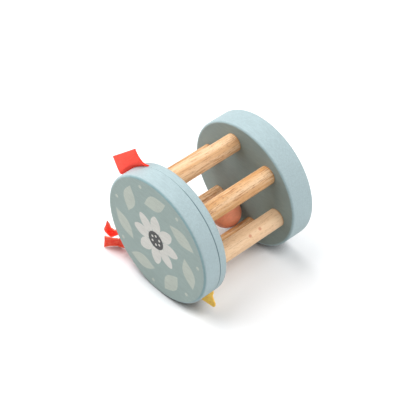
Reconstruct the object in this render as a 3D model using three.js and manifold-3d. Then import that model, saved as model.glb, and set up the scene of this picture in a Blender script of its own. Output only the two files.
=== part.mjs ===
// Wooden baby rattle: two painted wheels joined by six beech dowels, with a loose ball in the cage.
// Millimetres, +Z up. The axle line of the wheels is Y: the printed face looks along -Y, and the
// origin is the centre of the rear wheel's outer face. Angles are measured from the top (+Z)
// towards -X, as seen from behind the printed face.

import * as THREE from "three";
import { mergeVertices } from "three/addons/utils/BufferGeometryUtils.js";
import Module from "manifold-3d";

const wasm = await Module();
wasm.setup();

// Driving dimensions

const wheelDiameter = 75;
const frontLayerThickness = 10;
const innerLayerThickness = 4.7;
const rearWheelThickness = 14.6;
const cageLength = 46.6;
const outerEdgeRound = 2;
const cageEdgeRound = 1.2;
const seamBevel = 0.4;

const dowelDiameter = 10.3;
const dowelRimMargin = 6.25;
const dowelEndBevel = 0.6;
const dowelDepthInFront = 5;
const dowelDepthInRear = 8;
const dowelClearance = 0.3;

const ballOversize = 1.2;
const ballSeatClearance = 0.15;
const ballEndClearance = 0.3;

const tagWidth = 25;
const tagThickness = 0.9;
const tagRise = 11.5;
const tagSlant = 1;
const tagLean = 2.8;

const tailWidth = 10;
const tailThickness = 0.6;
const upperTailLength = 23;
const lowerTailLength = 21;

const tabWidth = 20;
const tabThickness = 0.7;
const tabRise = 9.5;

const rootDepth = 4.5;
const rootClearance = 0.2;

// Places round the wheels, in degrees, and counts. The ball lies past the dowel that lowestDowel
// counts, from 0, and it is wider than the gap between two dowels by ballOversize.

const dowelCount = 6;
const firstDowelAngle = 17.36;
const lowestDowel = 2;
const tagAngle = 45.7;
const upperTailAngle = 117;
const lowerTailAngle = 136;
const tabAngle = -137.5;

const wheelSides = 96;
const roundSteps = 4;
const samplesPerShare = 5;
const dowelSides = 32;
const ballRings = 18;
const tagRows = 22;
const tagColumns = 12;
const tailRows = 26;
const tailColumns = 6;

// Derived places

const wheelRadius = wheelDiameter / 2;
const dowelRadius = dowelDiameter / 2;
const dowelCircleRadius = wheelRadius - dowelRimMargin - dowelRadius;
const dowelHalfSpan = dowelCircleRadius * Math.sin(Math.PI / dowelCount);
const ballRadius = dowelHalfSpan - dowelRadius + ballOversize / 2;
const rearCageFace = -rearWheelThickness;
const frontCageFace = rearCageFace - cageLength;
const seamFace = frontCageFace - innerLayerThickness;
const printedFace = seamFace - frontLayerThickness;

// Vector that points out from the axle line at an angle from the top.
function outward(angle) {
  const turn = THREE.MathUtils.degToRad(angle);
  return new THREE.Vector3(-Math.sin(turn), 0, Math.cos(turn));
}

// Vector along the rim at an angle from the top, towards larger angles.
function along(angle) {
  const turn = THREE.MathUtils.degToRad(angle);
  return new THREE.Vector3(-Math.cos(turn), 0, -Math.sin(turn));
}

// Materials

const grainedPaint = new THREE.MeshStandardMaterial({ color: 0xa9bcbf, roughness: 0.55, metalness: 0 });
const beech = new THREE.MeshStandardMaterial({ color: 0xdeb482, roughness: 0.6, metalness: 0 });
const terracottaPaint = new THREE.MeshStandardMaterial({ color: 0xc16950, roughness: 0.5, metalness: 0 });
const coralRibbon = new THREE.MeshStandardMaterial({ color: 0xfa5041, roughness: 0.7, metalness: 0 });
const mustardRibbon = new THREE.MeshStandardMaterial({ color: 0xcda53c, roughness: 0.85, metalness: 0 });

// Closed bodies

// Signed volume of an indexed geometry, positive when its faces point out.
function signedVolume(position, index) {
  const a = new THREE.Vector3();
  const b = new THREE.Vector3();
  const c = new THREE.Vector3();
  let volume = 0;
  for (let i = 0; i < index.length; i += 3) {
    a.fromBufferAttribute(position, index[i]);
    b.fromBufferAttribute(position, index[i + 1]);
    c.fromBufferAttribute(position, index[i + 2]);
    volume += a.dot(b.cross(c)) / 6;
  }
  return volume;
}

// One closed body from any geometry: shared vertices merged, empty faces dropped, faces out.
function closedBody(geometry) {
  const bare = geometry.index ? geometry : geometry.clone();
  bare.deleteAttribute("normal");
  bare.deleteAttribute("uv");
  const merged = mergeVertices(bare);
  const source = Array.from(merged.index.array);
  const index = [];
  for (let i = 0; i < source.length; i += 3) {
    const [a, b, c] = source.slice(i, i + 3);
    if (a !== b && b !== c && c !== a) {
      index.push(a, b, c);
    }
  }
  if (signedVolume(merged.attributes.position, index) < 0) {
    index.reverse();
  }
  merged.setIndex(index);
  return merged;
}

// Solid for cutting, from a closed body.
function toSolid(geometry) {
  const body = closedBody(geometry);
  return new wasm.Manifold(
    new wasm.Mesh({
      numProp: 3,
      vertProperties: Float32Array.from(body.attributes.position.array),
      triVerts: Uint32Array.from(body.index.array),
    }),
  );
}

// Geometry of a solid, back from cutting.
function fromSolid(solid) {
  const mesh = solid.getMesh();
  const geometry = new THREE.BufferGeometry();
  geometry.setAttribute("position", new THREE.BufferAttribute(mesh.vertProperties, 3));
  geometry.setIndex(new THREE.BufferAttribute(mesh.triVerts, 1));
  return geometry;
}

// Named mesh of one piece.
function piece(name, geometry, material) {
  const mesh = new THREE.Mesh(geometry, material.clone());
  mesh.name = name;
  return mesh;
}

// Wheels

// Edges of the wheel layers: a round has several steps and a bevel has one.
const outerEdge = { size: outerEdgeRound, steps: roundSteps };
const cageEdge = { size: cageEdgeRound, steps: roundSteps };
const seamEdge = { size: seamBevel, steps: 1 };

// Outline of a turned layer from its low face to its high face, with its edges.
function layerOutline(lowFace, highFace, lowEdge, highEdge) {
  const outline = [new THREE.Vector2(0, lowFace)];
  for (let i = 0; i <= lowEdge.steps; i += 1) {
    const turn = (Math.PI / 2) * (i / lowEdge.steps);
    const radius = wheelRadius - lowEdge.size * (1 - Math.sin(turn));
    outline.push(new THREE.Vector2(radius, lowFace + lowEdge.size * (1 - Math.cos(turn))));
  }
  for (let i = 0; i <= highEdge.steps; i += 1) {
    const turn = (Math.PI / 2) * (i / highEdge.steps);
    const radius = wheelRadius - highEdge.size * (1 - Math.cos(turn));
    outline.push(new THREE.Vector2(radius, highFace - highEdge.size * (1 - Math.sin(turn))));
  }
  outline.push(new THREE.Vector2(0, highFace));
  return outline;
}

// Turned layer with a flat of its rim at the very bottom, so that it stands steady.
function turnedLayer(lowFace, highFace, lowEdge, highEdge) {
  const outline = layerOutline(lowFace, highFace, lowEdge, highEdge);
  return toSolid(new THREE.LatheGeometry(outline, wheelSides, Math.PI / wheelSides));
}

// Holes for all dowels between two places along the axle line.
function dowelHoles(start, end) {
  const radius = dowelRadius + dowelClearance;
  let holes = null;
  for (let i = 0; i < dowelCount; i += 1) {
    const centre = dowelCentre(i);
    const hole = new THREE.CylinderGeometry(radius, radius, end - start, dowelSides);
    hole.translate(centre.x, (start + end) / 2, centre.z);
    const solid = toSolid(hole);
    holes = holes ? holes.add(solid) : solid;
  }
  return holes;
}

// Centre of a dowel on the dowel circle.
function dowelCentre(i) {
  const angle = firstDowelAngle + (i * 360) / dowelCount;
  return outward(angle).multiplyScalar(dowelCircleRadius);
}

// Height of the rim over a chord of a given width, measured from the axle line.
function chordHeight(width) {
  return Math.sqrt(wheelRadius ** 2 - (width / 2) ** 2);
}

// Shallow pocket in the seam side of the inner layer for the root of a ribbon.
function rootPocket(angle, width, thickness) {
  const bottom = chordHeight(width) - rootDepth - rootClearance;
  const height = wheelDiameter - bottom;
  const depth = thickness + 2 * rootClearance;
  const pocket = new THREE.BoxGeometry(width + 2 * rootClearance, height, 2 * depth);
  pocket.translate(0, bottom + height / 2, 0);
  pocket.applyMatrix4(seamPlacement(angle, seamFace));
  return toSolid(pocket);
}

// Placement of a flat drawing on the seam: x runs along the rim, y outward and z along +Y.
function seamPlacement(angle, place) {
  const turned = new THREE.Matrix4();
  turned.makeBasis(along(angle), outward(angle), new THREE.Vector3(0, 1, 0));
  turned.setPosition(0, place, 0);
  return turned;
}

function makeFrontDisc() {
  const layer = turnedLayer(printedFace, seamFace, outerEdge, seamEdge);
  const start = seamFace - dowelDepthInFront - dowelClearance;
  return piece("front_disc", fromSolid(layer.subtract(dowelHoles(start, frontCageFace))), grainedPaint);
}

function makeFrontInnerDisc() {
  let layer = turnedLayer(seamFace, frontCageFace, seamEdge, cageEdge);
  layer = layer.subtract(dowelHoles(printedFace, rearCageFace));
  layer = layer.subtract(rootPocket(tagAngle, tagWidth, tagThickness));
  layer = layer.subtract(rootPocket(upperTailAngle, tailWidth, tailThickness));
  layer = layer.subtract(rootPocket(lowerTailAngle, tailWidth, tailThickness));
  layer = layer.subtract(rootPocket(tabAngle, tabWidth, tabThickness));
  return piece("front_inner_disc", fromSolid(layer), grainedPaint);
}

function makeRearDisc() {
  const layer = turnedLayer(rearCageFace, 0, cageEdge, outerEdge);
  const end = rearCageFace + dowelDepthInRear + dowelClearance;
  return piece("rear_disc", fromSolid(layer.subtract(dowelHoles(frontCageFace, end))), grainedPaint);
}

// Cage

function makeDowel(i) {
  const low = seamFace - dowelDepthInFront;
  const high = rearCageFace + dowelDepthInRear;
  const outline = [
    new THREE.Vector2(0, low),
    new THREE.Vector2(dowelRadius - dowelEndBevel, low),
    new THREE.Vector2(dowelRadius, low + dowelEndBevel),
    new THREE.Vector2(dowelRadius, high - dowelEndBevel),
    new THREE.Vector2(dowelRadius - dowelEndBevel, high),
    new THREE.Vector2(0, high),
  ];
  const mesh = piece(`dowel_${i + 1}`, closedBody(new THREE.LatheGeometry(outline, dowelSides)), beech);
  mesh.position.copy(dowelCentre(i));
  return mesh;
}

// The ball lies in the valley between the two lowest dowels, against the rear wheel.
function makeBall() {
  const reach = ballRadius + dowelRadius + ballSeatClearance;
  const valley = dowelCircleRadius * Math.cos(Math.PI / dowelCount);
  const valleyAngle = firstDowelAngle + ((lowestDowel + 0.5) * 360) / dowelCount;
  const drop = valley - Math.sqrt(reach ** 2 - dowelHalfSpan ** 2);
  const mesh = piece(
    "rattle_ball",
    closedBody(new THREE.SphereGeometry(ballRadius, 2 * ballRings, ballRings)),
    terracottaPaint,
  );
  mesh.position.copy(outward(valleyAngle).multiplyScalar(drop));
  mesh.position.y = rearCageFace - ballEndClearance - ballRadius;
  return mesh;
}

// Ribbons

// Thin closed body of a cloth surface: surface(u, v) gives its middle, u runs along and v across.
function clothBody(surface, alongSteps, acrossSteps, thickness) {
  const step = 1 / (4 * alongSteps);
  const row = acrossSteps + 1;
  const layer = (alongSteps + 1) * row;
  const points = [];
  const index = [];
  for (const side of [1, -1]) {
    for (let i = 0; i <= alongSteps; i += 1) {
      for (let j = 0; j <= acrossSteps; j += 1) {
        const u = i / alongSteps;
        const v = j / acrossSteps;
        const ahead = surface(Math.min(u + step, 1), v).sub(surface(Math.max(u - step, 0), v));
        const beside = surface(u, Math.min(v + step, 1)).sub(surface(u, Math.max(v - step, 0)));
        const normal = ahead.cross(beside).normalize();
        const point = surface(u, v).addScaledVector(normal, (side * thickness) / 2);
        points.push(point.x, point.y, point.z);
      }
    }
  }
  const quad = (a, b, c, d) => index.push(a, b, c, a, c, d);
  for (let i = 0; i < alongSteps; i += 1) {
    for (let j = 0; j < acrossSteps; j += 1) {
      const a = i * row + j;
      quad(a, a + row, a + row + 1, a + 1);
      quad(a + layer, a + 1 + layer, a + row + 1 + layer, a + row + layer);
    }
  }
  for (let j = 0; j < acrossSteps; j += 1) {
    const end = alongSteps * row + j;
    quad(j, j + 1, j + 1 + layer, j + layer);
    quad(end + 1, end, end + layer, end + 1 + layer);
  }
  for (let i = 0; i < alongSteps; i += 1) {
    const a = i * row;
    const b = a + acrossSteps;
    quad(a + row, a, a + layer, a + row + layer);
    quad(b, b + row, b + row + layer, b + layer);
  }
  const geometry = new THREE.BufferGeometry();
  geometry.setAttribute("position", new THREE.Float32BufferAttribute(points, 3));
  geometry.setIndex(index);
  return closedBody(geometry);
}

// Middle of a ribbon's root in the seam, along the axle line.
function rootPlace(thickness) {
  return seamFace + rootClearance + thickness / 2;
}

// How far the tag leans over the printed layer at its two side edges: shares of its rise over the
// rim, and of its lean.
const nearEdgeLeanShares = [
  [0, 0],
  [0.03, 0.02],
  [0.11, 0.43],
  [0.26, 0.8],
  [0.42, 0.94],
  [0.56, 1],
  [0.7, 0.92],
  [0.91, 0.78],
  [1.2, 0.66],
];
const farEdgeLeanShares = [
  [0, 0],
  [0.04, 0.04],
  [0.11, 0.5],
  [0.18, 0.95],
  [0.24, 1.1],
  [0.32, 1.12],
  [0.44, 1.03],
  [0.65, 0.89],
  [0.87, 0.74],
  [1.2, 0.52],
];

// Samples of the smooth curve through a table of shares.
function smoothShares(table) {
  const curve = new THREE.SplineCurve(table.map(([at, share]) => new THREE.Vector2(at, share)));
  return curve.getPoints(table.length * samplesPerShare);
}

// Share at one place between the samples.
function readShares(samples, place) {
  const next = samples.findIndex((sample) => sample.x >= place);
  if (next <= 0) {
    return samples[0].y;
  }
  const before = samples[next - 1];
  const after = samples[next];
  return THREE.MathUtils.mapLinear(place, before.x, after.x, before.y, after.y);
}

function makeTag() {
  const rim = chordHeight(tagWidth);
  const nearEdgeLean = smoothShares(nearEdgeLeanShares);
  const farEdgeLean = smoothShares(farEdgeLeanShares);
  const surface = (u, v) => {
    const sideways = (v - 0.5) * tagWidth;
    const top = rim + tagRise + (v - 0.5) * tagSlant;
    const height = THREE.MathUtils.lerp(rim - rootDepth, top, u);
    const point = outward(tagAngle).multiplyScalar(height);
    point.addScaledVector(along(tagAngle), sideways);
    const rise = (Math.hypot(height, sideways) - wheelRadius) / tagRise;
    const lean = THREE.MathUtils.lerp(readShares(nearEdgeLean, rise), readShares(farEdgeLean, rise), v);
    point.y = rootPlace(tagThickness) - lean * tagLean;
    return point;
  };
  return piece("ribbon_tag", clothBody(surface, tagRows, tagColumns, tagThickness), coralRibbon);
}

// Stations of a tail from the rim to its cut end. Each has its turn in degrees past the root's angle,
// its height over the rim and its way forward of the seam as shares of the tail's length, its spread
// as a share of the tail's width, and the direction in which its width lies: along the rim at the
// root, outward, and along the axle line.
const upperTailShares = [
  { turn: 0, rise: 0.02, forward: 0, spread: 1, across: [1, -0.02, 0] },
  { turn: 0.4, rise: 0.09, forward: 0.015, spread: 1, across: [0.99, 0.03, 0.02] },
  { turn: 3.3, rise: 0.22, forward: 0.1, spread: 0.98, across: [0.91, 0.35, 0.15] },
  { turn: 7.1, rise: 0.391, forward: 0.25, spread: 0.97, across: [0.62, 0.72, 0.29] },
  { turn: 6.4, rise: 0.513, forward: 0.313, spread: 0.95, across: [0.69, 0.71, 0.14] },
  { turn: 1.9, rise: 0.443, forward: 0.404, spread: 0.95, across: [0.66, 0.76, 0] },
  { turn: -1.1, rise: 0.413, forward: 0.439, spread: 0.99, across: [0.68, 0.73, 0.02] },
];
const lowerTailShares = [
  { turn: 0, rise: 0.02, forward: 0, spread: 1, across: [0.99, 0.02, 0] },
  { turn: 0, rise: 0.1, forward: 0.02, spread: 1, across: [0.99, 0.16, 0.02] },
  { turn: -1.4, rise: 0.25, forward: 0.1, spread: 0.99, across: [0.9, 0.43, 0.08] },
  { turn: -4.1, rise: 0.514, forward: 0.264, spread: 0.98, across: [0.52, 0.83, 0.17] },
  { turn: -5.3, rise: 0.581, forward: 0.317, spread: 0.98, across: [0.41, 0.88, 0.21] },
  { turn: -7.4, rise: 0.676, forward: 0.457, spread: 0.98, across: [0.44, 0.89, 0.12] },
  { turn: -8.9, rise: 0.752, forward: 0.548, spread: 0.99, across: [0.57, 0.82, 0.04] },
];

function makeTail(name, shares, rootAngle, length) {
  const rootFrame = seamPlacement(rootAngle, rootPlace(tailThickness));
  const widthway = (station) => new THREE.Vector3(...station.across).transformDirection(rootFrame);
  const middles = [new THREE.Vector3(0, chordHeight(tailWidth) - rootDepth, 0).applyMatrix4(rootFrame)];
  const directions = [widthway(shares[0])];
  const spreads = [shares[0].spread];
  for (const station of shares) {
    const middle = outward(rootAngle + station.turn).multiplyScalar(wheelRadius + station.rise * length);
    middle.y = rootPlace(tailThickness) - station.forward * length;
    middles.push(middle);
    directions.push(widthway(station));
    spreads.push(station.spread);
  }
  const middleLine = new THREE.CatmullRomCurve3(middles, false, "catmullrom", 0.5);
  const acrossLine = new THREE.CatmullRomCurve3(directions, false, "catmullrom", 0.5);
  const spreadLine = new THREE.SplineCurve(spreads.map((spread, i) => new THREE.Vector2(i, spread)));
  const surface = (u, v) => {
    const across = acrossLine.getPoint(u).normalize();
    const chord = tailWidth * Math.min(spreadLine.getPoint(u).y, 1);
    const curl = Math.sqrt(((tailWidth - chord) * 3 * chord) / 8);
    const bulge = across.clone().cross(middleLine.getTangent(u)).normalize();
    const point = middleLine.getPoint(u);
    point.addScaledVector(across, (v - 0.5) * chord);
    point.addScaledVector(bulge, curl * (1 - (2 * v - 1) ** 2));
    return point;
  };
  return piece(name, clothBody(surface, tailRows, tailColumns, tailThickness), coralRibbon);
}

// Outline of the tab over its chord: shares of its width from the middle, and of its rise.
const tabOutlineShares = [
  [-0.5, 0],
  [-0.28, 0.43],
  [-0.13, 0.63],
  [0.09, 0.96],
  [0.18, 0.95],
  [0.26, 0.82],
  [0.275, 0.62],
  [0.32, 0.3],
  [0.42, 0.2],
  [0.5, 0],
];

function makeTab() {
  const rim = chordHeight(tabWidth);
  const outline = new THREE.Shape();
  outline.moveTo(tabWidth / 2, rim - rootDepth);
  outline.lineTo(-tabWidth / 2, rim - rootDepth);
  for (const [sideways, rise] of tabOutlineShares) {
    outline.lineTo(sideways * tabWidth, rim + rise * tabRise);
  }
  const geometry = new THREE.ExtrudeGeometry(outline, { depth: tabThickness, bevelEnabled: false });
  const mesh = piece("ribbon_tab", closedBody(geometry), mustardRibbon);
  mesh.applyMatrix4(seamPlacement(tabAngle, seamFace + rootClearance));
  return mesh;
}

// Assembly

const rattle = new THREE.Group();
rattle.add(makeFrontDisc());
rattle.add(makeFrontInnerDisc());
rattle.add(makeRearDisc());
for (let i = 0; i < dowelCount; i += 1) {
  rattle.add(makeDowel(i));
}
rattle.add(makeBall());
rattle.add(makeTag());
rattle.add(makeTail("ribbon_tail_upper", upperTailShares, upperTailAngle, upperTailLength));
rattle.add(makeTail("ribbon_tail_lower", lowerTailShares, lowerTailAngle, lowerTailLength));
rattle.add(makeTab());

export default rattle;
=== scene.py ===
"""Wooden baby rattle: painted wheels, a cage of beech dowels, a loose ball and woven ribbons.

Metres, in the part's own frame. The axle line of the wheels is Y, the printed face looks along -Y, the
origin is the centre of the rear wheel's outer face and Z is up. Angles round the wheels are measured
from the top towards -X.
"""
import logging
import math
from collections.abc import Callable, Sequence
from dataclasses import dataclass
from enum import Enum

import bmesh
import bpy
import numpy as np
from mathutils import Matrix, Vector, noise


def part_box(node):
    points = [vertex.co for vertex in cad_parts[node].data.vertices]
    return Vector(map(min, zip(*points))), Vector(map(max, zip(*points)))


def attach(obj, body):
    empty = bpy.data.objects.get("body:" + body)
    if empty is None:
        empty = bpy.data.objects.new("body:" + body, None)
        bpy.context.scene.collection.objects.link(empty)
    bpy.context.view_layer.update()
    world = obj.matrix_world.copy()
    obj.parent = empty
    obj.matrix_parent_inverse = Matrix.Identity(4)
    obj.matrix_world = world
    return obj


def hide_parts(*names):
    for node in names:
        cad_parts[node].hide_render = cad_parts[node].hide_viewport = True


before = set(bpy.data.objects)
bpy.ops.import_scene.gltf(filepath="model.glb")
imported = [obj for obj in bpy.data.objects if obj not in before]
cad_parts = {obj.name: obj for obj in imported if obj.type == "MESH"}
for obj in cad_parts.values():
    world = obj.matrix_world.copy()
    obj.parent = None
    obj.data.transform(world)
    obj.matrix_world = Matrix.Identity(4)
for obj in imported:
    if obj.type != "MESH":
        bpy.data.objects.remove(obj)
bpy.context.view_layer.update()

log = logging.getLogger("rattle")

MM = 0.001
TURN = 2 * math.pi
CAD_WHEEL_SIDES = 96
OUTER_ROUND = 1.5 * MM
CAGE_ROUND = 1.2 * MM
TURNED_SIZES = ("Radius", "Low", "High", "Low Round", "High Round", "Support")
HOLE_SIZES = ("Hole Radius", "Hole Low", "Hole High", "Circle Radius", "First Angle")

SOCKET_KINDS = {float: "Float", int: "Int", tuple: "Vector"}
ORIGIN = (0.0, 0.0, 0.0)
WHEEL_SIDES = 256
WHEEL_ROUND_STEPS = 8
DOWEL_SIDES = 96
WHEEL_SHARP = math.radians(25)
DOWEL_SHARP = math.radians(40)
CLOTH_SHARP = math.radians(50)
TAB_SHARP = math.radians(60)
SLOPE_STEP = 0.005
COURSE_STEP = 0.001
SAMPLES_PER_ROW = 8
CORNER_STEPS = 3
MERGE_REACH = 0.001 * MM
LEAST_OVAL_WIDTH = 0.01 * MM
OVAL_EDGE = (0.97, 1.05)
FIBRE_ROUGHNESS = 0.62
FIBRE_SHOWN = (0.25, 0.75)
CLOUD_DETAIL = 3.0
WEFT_POWER = 0.6
WARP_POWER = 0.5
GAP_SHOWN = (0.15, 0.7)

Colour = tuple[float, float, float]
Pair = tuple[float, float]
Surface = Callable[[float, float], Vector]


class Body(Enum):
    """Bodies of the frame that the pieces ride on."""

    CAGE = "cage"
    BALL = "ball"


class Slot(Enum):
    """Material slots."""

    FRONT_WHEEL = "front_wheel_paint"
    REAR_WHEEL = "rear_wheel_paint"
    BEECH = "beech"
    BALL = "ball_paint"
    CORAL = "coral_ribbon"
    MUSTARD = "mustard_ribbon"


@dataclass(frozen=True)
class RattleSizes:
    """Places and sizes that the sub-assemblies share, read from the frame."""

    wheel_radius: float
    rear_face: float
    rear_cage_face: float
    front_cage_face: float
    seam_face: float
    printed_face: float
    dowel_radius: float
    dowel_circle_radius: float
    first_dowel_angle: float
    dowel_low: float
    dowel_high: float
    dowel_count: int

    @classmethod
    def from_frame(cls) -> "RattleSizes":
        """Read the sizes from the boxes of the frame's nodes.

        Returns:
            The sizes in metres, with angles in radians.
        """
        rear_low, rear_high = (Vector(corner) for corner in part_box("rear_disc"))
        layer_low, layer_high = (Vector(corner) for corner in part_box("front_disc"))
        inner_high = Vector(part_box("front_inner_disc")[1])
        dowel_low, dowel_high = (Vector(corner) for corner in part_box("dowel_1"))
        dowels = [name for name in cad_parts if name.startswith("dowel_")]
        centre = (dowel_low + dowel_high) / 2
        facet_reach = math.cos(math.pi / CAD_WHEEL_SIDES)
        return cls(
            wheel_radius=rear_high.z / facet_reach,
            rear_face=rear_high.y,
            rear_cage_face=rear_low.y,
            front_cage_face=inner_high.y,
            seam_face=layer_high.y,
            printed_face=layer_low.y,
            dowel_radius=(dowel_high.x - dowel_low.x) / 2,
            dowel_circle_radius=math.hypot(centre.x, centre.z),
            first_dowel_angle=math.atan2(-centre.x, centre.z),
            dowel_low=dowel_low.y,
            dowel_high=dowel_high.y,
            dowel_count=len(dowels),
        )


def srgb(red: int, green: int, blue: int) -> Colour:
    """Linear colour of a display colour, whose channels run from 0 to 255."""
    shares = (channel / 255 for channel in (red, green, blue))
    return tuple(s / 12.92 if s <= 0.04045 else ((s + 0.055) / 1.055) ** 2.4 for s in shares)


def outward(angle: float) -> Vector:
    """Direction out from the axle line at an angle in radians from the top."""
    return Vector((-math.sin(angle), 0, math.cos(angle)))


def along_rim(angle: float) -> Vector:
    """Direction along the rim at an angle in radians from the top, towards larger angles."""
    return Vector((-math.cos(angle), 0, -math.sin(angle)))


def node_operator(operation: str, swapped: bool = False) -> Callable[["Term", "Value"], "Term"]:
    """Make an operator of Term that places a Math node.

    Args:
        operation: The node's operation.
        swapped: Whether the term comes second.

    Returns:
        The operator.
    """

    def place(term: "Term", other: "Value") -> "Term":
        """Place the node."""
        return term.build.math(operation, *((other, term) if swapped else (term, other)))

    return place


class Term:
    """Result of a node, with which sums of nodes are written as plain sums."""

    __add__ = node_operator("ADD")
    __sub__ = node_operator("SUBTRACT")
    __rsub__ = node_operator("SUBTRACT", swapped=True)
    __mul__ = node_operator("MULTIPLY")
    __truediv__ = node_operator("DIVIDE")
    __rtruediv__ = node_operator("DIVIDE", swapped=True)
    __mod__ = node_operator("FLOORED_MODULO")

    def __init__(self, build: "NodeBuilder", socket: bpy.types.NodeSocket) -> None:
        """Keep a socket with the builder of its tree."""
        self.build = build
        self.socket = socket

    def __abs__(self) -> "Term":
        """Size of the value without its sign."""
        return self.build.math("ABSOLUTE", self)


Value = float | int | bool | str | Sequence[float] | Term | bpy.types.NodeSocket | bpy.types.ID | None
Inputs = dict[int | str, Value]


def cleared_tree(owner: bpy.types.Material | bpy.types.World) -> bpy.types.NodeTree:
    """Switch on the nodes of a material or world and clear away its first ones.

    Args:
        owner: The material or world.

    Returns:
        Its empty tree.
    """
    owner.use_nodes = True
    owner.node_tree.nodes.clear()
    return owner.node_tree


class NodeBuilder:
    """Places and links the nodes of one tree."""

    def __init__(self, tree: bpy.types.NodeTree) -> None:
        """Work on a tree."""
        self.tree = tree

    def node(self, kind: str, inputs: Inputs | None = None, **settings: Value) -> bpy.types.Node:
        """Place a node.

        Args:
            kind: The node's type.
            inputs: Values, results or sockets for its inputs, by name or number.
            **settings: The node's own properties.

        Returns:
            The new node.
        """
        node = self.tree.nodes.new(kind)
        for name, value in settings.items():
            setattr(node, name, value)
        for key, value in (inputs or {}).items():
            self.fill(node.inputs[key], value)
        return node

    def fill(self, socket: bpy.types.NodeSocket, value: Value) -> None:
        """Link a socket to an input, or set the input's own value.

        Args:
            socket: The input.
            value: What it takes.
        """
        source = value.socket if isinstance(value, Term) else value
        if isinstance(source, bpy.types.NodeSocket):
            self.tree.links.new(source, socket)
        else:
            socket.default_value = source

    def result(
        self, kind: str, inputs: Inputs | None = None, output: int | str = 0, **settings: Value
    ) -> Term:
        """Output of a new node."""
        return Term(self, self.node(kind, inputs, **settings).outputs[output])

    def math(self, operation: str, *values: Value) -> Term:
        """Result of a Math node."""
        return self.result("ShaderNodeMath", dict(enumerate(values)), operation=operation)

    def vector_math(self, operation: str, *values: Value, output: int | str = 0) -> Term:
        """Result of a Vector Math node."""
        return self.result("ShaderNodeVectorMath", dict(enumerate(values)), output, operation=operation)

    def vector(self, *values: Value) -> Term:
        """Vector put together from three values."""
        return self.result("ShaderNodeCombineXYZ", dict(enumerate(values)))

    def parts(self, vector: Value) -> tuple[Term, ...]:
        """The three values of a vector."""
        return tuple(Term(self, socket) for socket in self.node("ShaderNodeSeparateXYZ", {0: vector}).outputs)

    def from_axle(self, x: Term, z: Term) -> Term:
        """Distance from the axle line."""
        return self.math("SQRT", x * x + z * z)

    def ramp(self, value: Value, low: Value, high: Value, start: float = 0.0, end: float = 1.0) -> Term:
        """Smooth step of a value, from start below low to end above high."""
        inputs = {0: value, 1: low, 2: high, 3: start, 4: end}
        return self.result("ShaderNodeMapRange", inputs, interpolation_type="SMOOTHSTEP")


class GroupBuilder(NodeBuilder):
    """Places and links the nodes of a group with named inputs and outputs."""

    def __init__(
        self, name: str, kind: str, inputs: dict[str, Value | type], outputs: dict[str, str]
    ) -> None:
        """Start a group.

        Args:
            name: The group's name.
            kind: The type of its tree.
            inputs: Default value of each input by name, or its type where it has none.
            outputs: Socket type of each output by name.
        """
        super().__init__(bpy.data.node_groups.new(name, kind))
        sockets = self.tree.interface
        for label, default in inputs.items():
            no_default = isinstance(default, type)
            value_kind = default.__name__ if no_default else SOCKET_KINDS[type(default)]
            item = sockets.new_socket(label, in_out="INPUT", socket_type=f"NodeSocket{value_kind}")
            if not no_default:
                item.default_value = default
        for label, value_kind in outputs.items():
            sockets.new_socket(label, in_out="OUTPUT", socket_type=f"NodeSocket{value_kind}")
        given = self.node("NodeGroupInput").outputs
        self.given = {label: Term(self, given[label]) for label in inputs}

    def close(self, *results: Value) -> bpy.types.NodeTree:
        """Feed the group's outputs in their order and hand over its tree."""
        self.node("NodeGroupOutput", dict(enumerate(results)))
        return self.tree


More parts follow.
